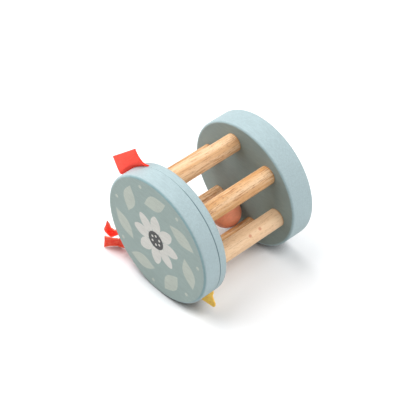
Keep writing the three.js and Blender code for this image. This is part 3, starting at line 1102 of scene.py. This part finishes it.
@dataclass
class Wheels:
    """The rear wheel and the two layers of the front wheel."""

    shop: Workshop
    seam_round: float = 0.25 * MM
    support: float = 0.4 * MM
    hole_clearance: float = 0.3 * MM
    depth_in_front: float = 5 * MM
    depth_in_rear: float = 8 * MM
    overrun: float = 1 * MM

    def build(self, pockets: bpy.types.Object) -> None:
        """Build and dress the wheels.

        Args:
            pockets: Object whose boxes are cut into the inner layer.
        """
        s = self.shop.sizes
        nothing = linked("no_pockets", bpy.data.meshes.new("no_pockets"))
        front_paint = WheelPaint("front_wheel_paint", printed=True).make(self.shop)
        rear_paint = WheelPaint("rear_wheel_paint").make(self.shop)
        front_hole = s.seam_face - self.depth_in_front - self.hole_clearance
        rear_hole = s.rear_cage_face + self.depth_in_rear + self.hole_clearance
        layers = (
            WheelLayer(
                "printed_wheel_layer", "front_disc", (s.printed_face, s.seam_face),
                (OUTER_ROUND, self.seam_round), (front_hole, s.seam_face + self.overrun),
                nothing, Slot.FRONT_WHEEL, front_paint,
            ),
            WheelLayer(
                "inner_wheel_layer", "front_inner_disc", (s.seam_face, s.front_cage_face),
                (self.seam_round, CAGE_ROUND), (s.seam_face - self.overrun, s.front_cage_face + self.overrun),
                pockets, Slot.FRONT_WHEEL, front_paint,
            ),
            WheelLayer(
                "rear_wheel", "rear_disc", (s.rear_cage_face, s.rear_face), (CAGE_ROUND, OUTER_ROUND),
                (s.rear_cage_face - self.overrun, rear_hole), nothing, Slot.REAR_WHEEL, rear_paint,
            ),
        )
        for layer in layers:
            settle(self._layer(layer), Body.CAGE, layer.slot, layer.node)
        bpy.data.objects.remove(nothing)

    def _layer(self, layer: WheelLayer) -> bpy.types.Object:
        """Build one wheel layer.

        Args:
            layer: What it is like.

        Returns:
            The piece.
        """
        s = self.shop.sizes
        values = dict(zip(("Low", "High", "Low Round", "High Round"), layer.faces + layer.rounds))
        values |= dict(zip(("Hole Low", "Hole High"), layer.holes))
        values |= {"Radius": s.wheel_radius, "Support": self.support, "Pockets": layer.pockets}
        values |= {"Hole Radius": s.dowel_radius + self.hole_clearance, "Hole Count": s.dowel_count}
        values |= {"Circle Radius": s.dowel_circle_radius, "First Angle": s.first_dowel_angle}
        return grown(layer.name, self.shop.shape.wheel, values | {"Material": layer.paint})


@dataclass
class Cage:
    """The six beech dowels; the knots' places are degrees round one dowel and millimetres along Y."""

    shop: Workshop
    end_round: float = 0.5 * MM
    end_support: float = 0.5 * MM
    seed: int = 7
    knot_dowel: int = 4
    knot_places: tuple[tuple[float, float], ...] = ((40.7, -37.0), (36.9, -29.9))

    def build(self) -> None:
        """Build and dress the dowels."""
        s = self.shop.sizes
        turn = s.first_dowel_angle + self.knot_dowel * TURN / s.dowel_count
        knots = []
        for degrees, axial in self.knot_places:
            on_dowel = outward(-math.radians(degrees)) * s.dowel_radius
            knots.append(outward(turn) * s.dowel_circle_radius + on_dowel + Vector((0, axial * MM, 0)))
        values = {
            "Radius": s.dowel_radius, "Low": s.dowel_low, "High": s.dowel_high, "End Round": self.end_round,
            "End Support": self.end_support, "Circle Radius": s.dowel_circle_radius,
            "First Angle": s.first_dowel_angle, "Count": s.dowel_count, "Seed": self.seed,
            "Material": BeechFinish().make(self.shop, knots),
        }
        dowels = grown("beech_dowels", self.shop.shape.cage, values)
        settle(dowels, Body.CAGE, Slot.BEECH, *(f"dowel_{i + 1}" for i in range(s.dowel_count)))


@dataclass
class Ball:
    """The loose turned ball, a little uneven and a little flat where the lathe held it."""

    shop: Workshop
    cuts: int = 40
    pole_flat: float = 0.05 * MM
    pole_start: float = 0.95
    unevenness: float = 0.03 * MM
    swells: float = 3

    def build(self) -> None:
        """Build and dress the ball."""
        low, high = (Vector(corner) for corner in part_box("rattle_ball"))
        centre = (low + high) / 2
        radius = (high.y - low.y) / 2
        mesh = bmesh.new()
        bmesh.ops.create_cube(mesh, size=2)
        bmesh.ops.subdivide_edges(mesh, edges=mesh.edges, cuts=self.cuts, use_grid_fill=True)
        for vertex in mesh.verts:
            direction = Vector(math.tan(share * math.pi / 4) for share in vertex.co).normalized()
            swing = noise.noise(direction * self.swells) * self.unevenness
            at_pole = max(0.0, abs(direction.x) - self.pole_start) / (1 - self.pole_start)
            reach = radius - self.unevenness + swing - self.pole_flat * at_pole
            vertex.co = centre + direction * reach
        data = from_bmesh("painted_ball", mesh)
        data.shade_smooth()
        data.materials.append(BallPaint().make(self.shop))
        settle(linked("painted_ball", data), Body.BALL, Slot.BALL, "rattle_ball")


def spline(points: Sequence[Vector], place: float, mirrored: bool = True) -> Vector:
    """Point on a smooth curve through points.

    Args:
        points: The points.
        place: Share of the way along them, from 0 to 1.
        mirrored: Whether the curve runs on past its ends, or eases into them.

    Returns:
        The point.
    """
    span = min(max(place, 0.0), 1.0) * (len(points) - 1)
    item = min(int(span), len(points) - 2)
    share = span - item
    first, second = points[item], points[item + 1]
    before = points[item - 1] if item > 0 else (first * 2 - second if mirrored else first)
    last = item + 2 >= len(points)
    after = (second * 2 - first if mirrored else second) if last else points[item + 2]
    leave, arrive = (second - before) / 2, (after - first) / 2
    square, cube = share**2, share**3
    return (
        (first - second) * (2 * cube) + (leave + arrive) * cube
        + (second - first) * (3 * square) - (leave * 2 + arrive) * square
        + leave * share + first
    )


def share_curve(rows: Sequence[Pair]) -> Callable[[float], float]:
    """Smooth reading of a table of shares.

    Args:
        rows: Places and their shares, in order.

    Returns:
        A function that gives the share at a place.
    """
    points = [Vector(row) for row in rows]
    count = len(rows) * SAMPLES_PER_ROW
    places, shares = zip(*(spline(points, i / count, mirrored=False) for i in range(count + 1)))
    return lambda place: float(np.interp(place, places, shares))


def lifted(surface: Surface, u: float, v: float, lift: float) -> Vector:
    """Point that stands off a surface along its normal.

    Args:
        surface: The surface.
        u: Share of the way along it.
        v: Share of the way across it.
        lift: How far the point stands off.

    Returns:
        The point.
    """
    ahead = surface(min(u + SLOPE_STEP, 1.0), v) - surface(max(u - SLOPE_STEP, 0.0), v)
    beside = surface(u, min(v + SLOPE_STEP, 1.0)) - surface(u, max(v - SLOPE_STEP, 0.0))
    return surface(u, v) + ahead.cross(beside).normalized() * lift


def cloth_object(
    name: str, rows: Sequence[Sequence[Vector]], width: float, thickness: float, material: bpy.types.Material
) -> tuple[bpy.types.Object, float]:
    """Make a sheet of cloth with its own thickness and a UV map in metres.

    Args:
        name: The piece's name.
        rows: Points across the sheet, row by row along it.
        width: The sheet's width.
        thickness: The sheet's thickness.
        material: Its material.

    Returns:
        The sheet, and its length along its middle.
    """
    across = len(rows[0])
    lengths = [0.0]
    for before, after in zip(rows, rows[1:]):
        lengths.append(lengths[-1] + (after[across // 2] - before[across // 2]).length)
    starts = [i * across + j for i in range(len(rows) - 1) for j in range(across - 1)]
    faces = [(k, k + 1, k + across + 1, k + across) for k in starts]
    data = bpy.data.meshes.new(name)
    data.from_pydata([point for row in rows for point in row], [], faces)
    layer = data.uv_layers.new(name="cloth")
    for loop in data.loops:
        i, j = divmod(loop.vertex_index, across)
        layer.data[loop.index].uv = (lengths[i], width * j / (across - 1))
    data.materials.append(material)
    holder = linked(f"{name}_sheet", data)
    solid = holder.modifiers.new("Cloth thickness", "SOLIDIFY")
    solid.thickness = thickness
    solid.offset = 0
    solid.use_even_offset = False
    sheet = applied(name, holder)
    sheet.data.set_sharp_from_angle(angle=CLOTH_SHARP)
    return sheet, lengths[-1]


@dataclass(frozen=True)
class Root:
    """Root of a ribbon in the seam: its angle in degrees from the top, its width and its thickness."""

    degrees: float
    width: float
    thickness: float

    @property
    def angle(self) -> float:
        """The angle in radians."""
        return math.radians(self.degrees)


@dataclass(frozen=True)
class TailStation:
    """Station of a tail: its turn in degrees past the root, its rise over the rim and its way forward
    as shares of the tail's length, its spread as a share of its width, and how its width lies."""

    turn: float
    rise: float
    forward: float
    spread: float
    across: tuple[float, float, float]


@dataclass(frozen=True)
class HemFlare:
    """Stretch of one hem of a tail: which side it is on, its middle and half length as shares of the tail,
    and how far it reaches."""

    side: int
    middle: float
    half: float
    reach: float

    def at(self, u: float, v: float) -> float:
        """How far the hem's stretch moves a point sideways."""
        near = max(0.0, 1 - ((u - self.middle) / self.half) ** 2) ** 2
        return self.side * self.reach * near * max(0.0, self.side * (2 * v - 1)) ** 2


@dataclass(frozen=True)
class Tail:
    """One tail: its name and node, its root, the length that its shares follow, its stretched hem, and its
    stations from the rim to the cut end."""

    name: str
    node: str
    root: Root
    length: float
    flare: HemFlare
    stations: tuple[TailStation, ...]


UPPER_TAIL = Tail(
    "upper_ribbon_tail",
    "ribbon_tail_upper",
    Root(117, 10 * MM, 0.6 * MM),
    23 * MM,
    HemFlare(side=1, middle=0.71, half=0.15, reach=0.75 * MM),
    (
        TailStation(0, 0.02, 0, 1, (1, -0.02, 0)),
        TailStation(0.4, 0.09, 0.015, 1, (0.99, 0.03, 0.02)),
        TailStation(3.3, 0.22, 0.1, 0.98, (0.91, 0.35, 0.15)),
        TailStation(7.1, 0.391, 0.25, 0.97, (0.62, 0.72, 0.29)),
        TailStation(6.4, 0.513, 0.313, 0.95, (0.69, 0.71, 0.14)),
        TailStation(1.9, 0.443, 0.404, 0.95, (0.66, 0.76, 0)),
        TailStation(-1.1, 0.413, 0.439, 0.99, (0.68, 0.73, 0.02)),
    ),
)
LOWER_TAIL = Tail(
    "lower_ribbon_tail",
    "ribbon_tail_lower",
    Root(136, 10 * MM, 0.6 * MM),
    21 * MM,
    HemFlare(side=-1, middle=0.86, half=0.13, reach=0.7 * MM),
    (
        TailStation(0, 0.02, 0, 1, (0.99, 0.02, 0)),
        TailStation(0, 0.1, 0.02, 1, (0.99, 0.16, 0.02)),
        TailStation(-1.4, 0.25, 0.1, 0.99, (0.9, 0.43, 0.08)),
        TailStation(-4.1, 0.514, 0.264, 0.98, (0.52, 0.83, 0.17)),
        TailStation(-5.3, 0.581, 0.317, 0.98, (0.41, 0.88, 0.21)),
        TailStation(-7.4, 0.676, 0.457, 0.98, (0.44, 0.89, 0.12)),
        TailStation(-8.9, 0.752, 0.548, 0.99, (0.57, 0.82, 0.04)),
    ),
)
NEAR_EDGE_LEAN = (
    (0, 0), (0.03, 0.06), (0.09, 0.36), (0.16, 0.58), (0.26, 0.74),
    (0.42, 0.85), (0.56, 0.88), (0.7, 0.86), (0.91, 0.76), (1.2, 0.63),
)
FAR_EDGE_LEAN = (
    (0, 0), (0.04, 0.04), (0.1, 0.5), (0.15, 0.88), (0.19, 1.06),
    (0.24, 1.08), (0.46, 0.98), (0.69, 0.84), (0.92, 0.69), (1.2, 0.5),
)
TAB_OUTLINE = (
    (-0.5, 0), (-0.28, 0.43), (-0.13, 0.63), (0.09, 0.96), (0.18, 0.95),
    (0.26, 0.82), (0.275, 0.62), (0.32, 0.3), (0.42, 0.2), (0.5, 0),
)
TAB_EDGE = ((0.45, -0.5), (0.12, -0.42), (0.0, -0.25), (0.16, 0.0), (0.0, 0.25), (0.12, 0.42), (0.45, 0.5))


def signed_area(points: Sequence[Vector]) -> float:
    """Area of a flat outline, above 0 where it runs anticlockwise."""
    following = [*points[1:], points[0]]
    return sum(a.x * b.y - b.x * a.y for a, b in zip(points, following)) / 2


def rounded_outline(corners: Sequence[Vector], radius: float) -> list[Vector]:
    """Round the corners of a flat outline.

    Args:
        corners: The outline's corners in order.
        radius: How far from a corner its round starts, or a third of the side where that is shorter.

    Returns:
        The points of the rounded outline.
    """
    points = []
    for item, corner in enumerate(corners):
        before = corners[item - 1] - corner
        after = corners[(item + 1) % len(corners)] - corner
        start = corner + before.normalized() * min(radius, before.length / 3)
        end = corner + after.normalized() * min(radius, after.length / 3)
        for step in range(CORNER_STEPS + 1):
            share = step / CORNER_STEPS
            points.append(start * (1 - share) ** 2 + corner * 2 * share * (1 - share) + end * share**2)
    return points


def inset_outline(points: Sequence[Vector], inset: float) -> list[Vector]:
    """Move each point of a flat outline inwards.

    Args:
        points: The outline's points in order.
        inset: How far each moves.

    Returns:
        The moved points.
    """
    side = 1 if signed_area(points) > 0 else -1
    moved = []
    for item, point in enumerate(points):
        tangent = (points[(item + 1) % len(points)] - points[item - 1]).normalized()
        moved.append(point + Vector((-tangent.y, tangent.x)) * inset * side)
    return moved


@dataclass
class Ribbons:
    """The folded tag, the two tails and the three-cornered tab in the front wheel's seam."""

    shop: Workshop
    root_depth: float = 4.5 * MM
    root_clearance: float = 0.2 * MM
    tag: Root = Root(45.7, 25 * MM, 0.9 * MM)
    tag_ply: float = 0.36 * MM
    tag_rise: float = 11.5 * MM
    tag_slant: float = 1 * MM
    tag_lean: float = 2.8 * MM
    tag_rows: int = 44
    fold_rows: int = 6
    tag_columns: int = 48
    tails: tuple[Tail, ...] = (UPPER_TAIL, LOWER_TAIL)
    tail_rows: int = 90
    tail_columns: int = 28
    ripple: float = 0.3 * MM
    ripple_start: float = 0.2
    ripple_pace: tuple[float, float, float, float] = (12, 2, 2.5, 4)
    tab: Root = Root(-137.5, 20 * MM, 0.7 * MM)
    tab_rise: float = 9.5 * MM
    tab_corner: float = 0.35 * MM

    def pockets(self) -> bpy.types.Object:
        """Boxes that are cut into the inner layer for the ribbons' roots.

        Returns:
            One object that holds the four boxes.
        """
        mesh = bmesh.new()
        gap = self.root_clearance
        for root in (self.tag, *(tail.root for tail in self.tails), self.tab):
            bottom = self._chord_height(root) - self.root_depth - gap
            height = self.shop.sizes.wheel_radius * 2 - bottom
            size = Vector((root.width + 2 * gap, height, 2 * (root.thickness + 2 * gap)))
            box = Matrix.Translation((0, bottom + height / 2, 0)) @ Matrix.Diagonal((*size, 1.0))
            seam = self._seam(root, self.shop.sizes.seam_face)
            bmesh.ops.create_cube(mesh, size=1, matrix=seam @ box)
        return linked("root_pockets", from_bmesh("root_pockets", mesh))

    def build(self) -> None:
        """Build and dress the ribbons."""
        tag = self._tag(CORAL_TAG.make(self.shop))
        settle(tag, Body.CAGE, Slot.CORAL, "ribbon_tag")
        tail_material = CORAL_TAIL.make(self.shop)
        for tail in self.tails:
            settle(self._tail(tail, tail_material), Body.CAGE, Slot.CORAL, tail.node)
        settle(self._tab(MUSTARD_TAB.make(self.shop)), Body.CAGE, Slot.MUSTARD, "ribbon_tab")

    def _chord_height(self, root: Root) -> float:
        """Height of the rim over a chord as wide as a root."""
        return math.sqrt(self.shop.sizes.wheel_radius**2 - (root.width / 2) ** 2)

    def _root_place(self, root: Root) -> float:
        """Middle of a root along the axle line."""
        return self.shop.sizes.seam_face + self.root_clearance + root.thickness / 2

    @staticmethod
    def _seam(root: Root, place: float) -> Matrix:
        """Placement of a flat drawing on the seam: x along the rim, y outward and z along +Y."""
        columns = (along_rim(root.angle), outward(root.angle), Vector((0, 1, 0)))
        return Matrix.Translation((0, place, 0)) @ Matrix(columns).transposed().to_4x4()

    def _tag_surface(self) -> Surface:
        """Middle surface of the tag: u runs from root to fold and v along the rim.

        Returns:
            The surface.
        """
        root, rim = self.tag, self._chord_height(self.tag)
        near_lean, far_lean = share_curve(NEAR_EDGE_LEAN), share_curve(FAR_EDGE_LEAN)
        wheel_radius, root_place = self.shop.sizes.wheel_radius, self._root_place(root)

        def surface(u: float, v: float) -> Vector:
            """Point of the tag.

            Args:
                u: Share of the way to the fold.
                v: Share of the way along the rim.

            Returns:
                The point.
            """
            sideways = (v - 0.5) * root.width
            top = rim + self.tag_rise + (v - 0.5) * self.tag_slant
            height = (rim - self.root_depth) * (1 - u) + top * u
            point = outward(root.angle) * height + along_rim(root.angle) * sideways
            rise = (math.hypot(height, sideways) - wheel_radius) / self.tag_rise
            lean = near_lean(rise) * (1 - v) + far_lean(rise) * v
            point.y = root_place - lean * self.tag_lean
            return point

        return surface

    def _tag(self, material: bpy.types.Material) -> bpy.types.Object:
        """Build the tag: one ribbon folded at its outer end, with both plies in the seam.

        Args:
            material: Its material.

        Returns:
            The tag.
        """
        surface = self._tag_surface()
        reach = self.root_depth + self.tag_rise
        offset = (self.tag.thickness - self.tag_ply) / 2
        fold = (offset + self.tag_ply / 2) / reach
        places = [(i / self.tag_rows * (1 - fold), 1.0) for i in range(self.tag_rows)]
        for i in range(self.fold_rows + 1):
            turn = math.pi / 2 * i / self.fold_rows
            places.append((1 - fold + (offset / reach) * math.sin(turn), math.cos(turn)))
        path = places + [(u, -side) for u, side in reversed(places[:-1])]
        columns = [j / self.tag_columns for j in range(self.tag_columns + 1)]
        rows = [[lifted(surface, u, v, offset * side) for v in columns] for u, side in path]
        tag, length = cloth_object("folded_tag", rows, self.tag.width, self.tag_ply, material)
        return tag

    def _tail_surface(self, tail: Tail) -> Surface:
        """Middle surface of a tail: u runs from root to cut end and v across it.

        Args:
            tail: The tail.

        Returns:
            The surface.
        """
        root, stations = tail.root, tail.stations
        seam = self._seam(root, self._root_place(root))
        widthways = [(seam.to_3x3() @ Vector(station.across)).normalized() for station in stations]
        widthways.insert(0, widthways[0])
        middles = [seam @ Vector((0, self._chord_height(root) - self.root_depth, 0))]
        spreads = [Vector((0.0, stations[0].spread))]
        for count, station in enumerate(stations, start=1):
            reach = self.shop.sizes.wheel_radius + station.rise * tail.length
            middle = outward(root.angle + math.radians(station.turn)) * reach
            middle.y = self._root_place(root) - station.forward * tail.length
            middles.append(middle)
            spreads.append(Vector((float(count), station.spread)))

        def surface(u: float, v: float) -> Vector:
            """Point of the tail, whose width curls where it is less spread.

            Args:
                u: Share of the way to the cut end.
                v: Share of the way across.

            Returns:
                The point.
            """
            across = spline(widthways, u).normalized()
            chord = root.width * min(spline(spreads, u, mirrored=False).y, 1.0)
            curl = math.sqrt((root.width - chord) * 3 * chord / 8)
            ahead = spline(middles, u + COURSE_STEP) - spline(middles, u - COURSE_STEP)
            bulge = across.cross(ahead).normalized()
            sideways = (v - 0.5) * chord + tail.flare.at(u, v)
            return spline(middles, u) + across * sideways + bulge * curl * (1 - (2 * v - 1) ** 2)

        return surface

    def _tail(self, tail: Tail, material: bpy.types.Material) -> bpy.types.Object:
        """Build one tail, with small ripples where it is free.

        Args:
            tail: The tail.
            material: Its material.

        Returns:
            The piece.
        """
        surface = self._tail_surface(tail)
        columns = [j / self.tail_columns for j in range(self.tail_columns + 1)]
        along, askew, across, apart = self.ripple_pace
        rows = []
        for i in range(self.tail_rows + 1):
            u = i / self.tail_rows
            free = self.ripple * min(max((u - self.ripple_start) / self.ripple_start, 0.0), 1.0)
            places = [Vector((u * along + v * askew, v * across, tail.root.angle * apart)) for v in columns]
            rows.append([lifted(surface, u, v, noise.noise(p) * free) for v, p in zip(columns, places)])
        piece, length = cloth_object(tail.name, rows, tail.root.width, tail.root.thickness, material)
        return piece

    def _tab(self, material: bpy.types.Material) -> bpy.types.Object:
        """Build the tab: a ribbon folded to a three-cornered double tip.

        Args:
            material: Its material.

        Returns:
            The tab.
        """
        width, thickness = self.tab.width, self.tab.thickness
        rim = self._chord_height(self.tab)
        bottom = rim - self.root_depth
        outline = [Vector((width / 2, bottom)), Vector((-width / 2, bottom))]
        outline += [Vector((sideways * width, rim + rise * self.tab_rise)) for sideways, rise in TAB_OUTLINE]
        points = rounded_outline(outline, self.tab_corner)
        placement = self._seam(self.tab, self._root_place(self.tab))
        mesh = bmesh.new()
        rings = []
        for inset, depth in TAB_EDGE:
            ring = inset_outline(points, inset * thickness)
            rings.append([mesh.verts.new(placement @ Vector((*point, depth * thickness))) for point in ring])
        for lower, upper in zip(rings, rings[1:]):
            for k in range(len(points)):
                following = (k + 1) % len(points)
                mesh.faces.new((lower[k], lower[following], upper[following], upper[k]))
        bmesh.ops.triangulate(mesh, faces=[mesh.faces.new(rings[0]), mesh.faces.new(rings[-1])])
        bmesh.ops.recalc_face_normals(mesh, faces=mesh.faces)
        layer = mesh.loops.layers.uv.new("cloth")
        flat = placement.inverted()
        for face in mesh.faces:
            for loop in face.loops:
                place = flat @ loop.vert.co
                loop[layer].uv = (place.y - bottom, place.x + width / 2)
        data = from_bmesh("folded_tab", mesh)
        data.shade_smooth()
        data.set_sharp_from_angle(angle=TAB_SHARP)
        data.materials.append(material)
        tab = linked("folded_tab", data)
        flat_size = (width, self.root_depth + self.tab_rise)
        return tab


@dataclass(frozen=True)
class Lamp:
    """Square lamp: its place, the length of its side, and how brightly it lights a surface that faces it,
    where 1 shows colours as written."""

    name: str
    place: tuple[float, float, float]
    size: float
    level: float


@dataclass
class Studio:
    """The camera, the lamps and the pale floor."""

    sizes: RattleSizes
    camera_place: tuple[float, float, float] = (0.3919, -0.3987, 0.5192)
    camera_back: tuple[float, float, float] = (0.5272, -0.4826, 0.6993)
    focal_pixels: float = 1427.8
    frame_pixels: float = 416
    sensor: float = 36
    nearest_seen: float = 0.01
    world_level: float = 0.18
    lamps: tuple[Lamp, ...] = (
        Lamp("key_lamp", (-0.46, -0.18, 0.72), 1.1, 1.62),
        Lamp("fill_lamp", (0.8, 0.3, 0.6), 1.4, 1.02),
        Lamp("front_lamp", (-0.85, -0.34, 0.26), 0.5, 0.3),
    )
    floor_size: float = 6
    floor_shade: float = 0.72
    floor_shown: Colour = (1.0, 1.008, 1.022)
    floor_clear: Pair = (0.3, 0.6)
    # painted shadow: how far, from which openness and how deeply the floor is darkened near the rattle, and
    # the occlusion samples
    contact_reach: float = 12 * MM
    contact_open: Pair = (0.05, 0.75)
    contact_shade: float = 0.06
    contact_samples: int = 8
    white: tuple[float, float, float, float] = (1.0, 1.0, 1.0, 1.0)

    def build(self) -> None:
        """Set up the view, the light and the floor."""
        bpy.context.scene.view_settings.view_transform = "Standard"
        self._camera()
        self._world()
        aim = Vector((0, (self.sizes.printed_face + self.sizes.rear_face) / 2, 0))
        for lamp in self.lamps:
            self._lamp(lamp, aim)
        self._floor()

    def _camera(self) -> None:
        """Place the camera at the photograph's viewing angle."""
        back = Vector(self.camera_back).normalized()
        right = Vector((-back.y, back.x, 0)).normalized()
        turned = Matrix((right, back.cross(right), back)).transposed().to_4x4()
        camera = bpy.data.objects.new("camera", bpy.data.cameras.new("camera"))
        camera.data.sensor_width = self.sensor
        camera.data.lens = self.focal_pixels * self.sensor / self.frame_pixels
        camera.data.clip_start = self.nearest_seen
        camera.matrix_world = Matrix.Translation(self.camera_place) @ turned
        bpy.context.scene.collection.objects.link(camera)
        bpy.context.scene.camera = camera

    def _world(self) -> None:
        """Light the world evenly, and show it white to the camera and through clear pieces."""
        world = bpy.data.worlds.new("studio")
        build = NodeBuilder(cleared_tree(world))
        rays = build.node("ShaderNodeLightPath").outputs
        seen = build.math("MAXIMUM", rays["Is Camera Ray"], rays["Is Transmission Ray"])
        strength = build.ramp(seen, 0.0, 1.0, self.world_level, 1.0)
        light = build.result("ShaderNodeBackground", {"Color": self.white, "Strength": strength})
        build.node("ShaderNodeOutputWorld", {"Surface": light})
        bpy.context.scene.world = world

    @staticmethod
    def _lamp(lamp: Lamp, aim: Vector) -> None:
        """Place a square lamp.

        Args:
            lamp: What it is like.
            aim: What it points at.
        """
        data = bpy.data.lights.new(lamp.name, "AREA")
        data.size = lamp.size
        way = aim - Vector(lamp.place)
        data.energy = lamp.level * math.pi**2 * way.length_squared
        made = bpy.data.objects.new(lamp.name, data)
        made.matrix_world = Matrix.Translation(lamp.place) @ way.to_track_quat("-Z", "Y").to_matrix().to_4x4()
        bpy.context.scene.collection.objects.link(made)

    def _floor(self) -> None:
        """Lay the floor under the wheels: the rattle's shadow falls on it, painted shadow darkens it near
        where the rattle touches it, and farther off it shows white.
        """
        data = bpy.data.meshes.new("floor")
        half = self.floor_size / 2
        corners = ((-half, -half), (half, -half), (half, half), (-half, half))
        data.from_pydata([(x, y, -self.sizes.wheel_radius) for x, y in corners], [], [(0, 1, 2, 3)])
        floor = linked("floor", data)
        material = bpy.data.materials.new("floor")
        build = NodeBuilder(cleared_tree(material))
        seen = build.result("ShaderNodeLightPath", output="Is Camera Ray")
        levels = (build.ramp(seen, 0.0, 1.0, self.floor_shade, shown) for shown in self.floor_shown)
        # painted shadow: an occlusion node darkens the floor near where the rattle touches it
        reach = {"Distance": self.contact_reach}
        open_sky = build.result("ShaderNodeAmbientOcclusion", reach, "AO", samples=self.contact_samples)
        painted_shadow_factor = build.ramp(open_sky, *self.contact_open, self.contact_shade, 1.0)
        tone = build.vector_math("MULTIPLY", build.vector(*levels), painted_shadow_factor)
        card = build.result("ShaderNodeBsdfDiffuse", {"Color": tone})
        place = build.result("ShaderNodeTexCoord", output="Object")
        away = build.vector_math("LENGTH", place, output="Value")
        white = build.result("ShaderNodeEmission", {"Color": self.white, "Strength": 1.0})
        share = seen * build.ramp(away, *self.floor_clear)
        both = build.result("ShaderNodeMixShader", {0: share, 1: card, 2: white})
        build.node("ShaderNodeOutputMaterial", {"Surface": both})
        data.materials.append(material)


def main() -> None:
    """Build the rattle and its studio."""
    logging.basicConfig(level=logging.INFO, format="%(name)s: %(message)s")
    shop = Workshop(RattleSizes.from_frame(), Shape(), Effects())
    Studio(shop.sizes).build()
    ribbons = Ribbons(shop)
    pockets = ribbons.pockets()
    Wheels(shop).build(pockets)
    bpy.data.objects.remove(pockets)
    Cage(shop).build()
    Ball(shop).build()
    ribbons.build()


if __name__ == "__main__":
    main()
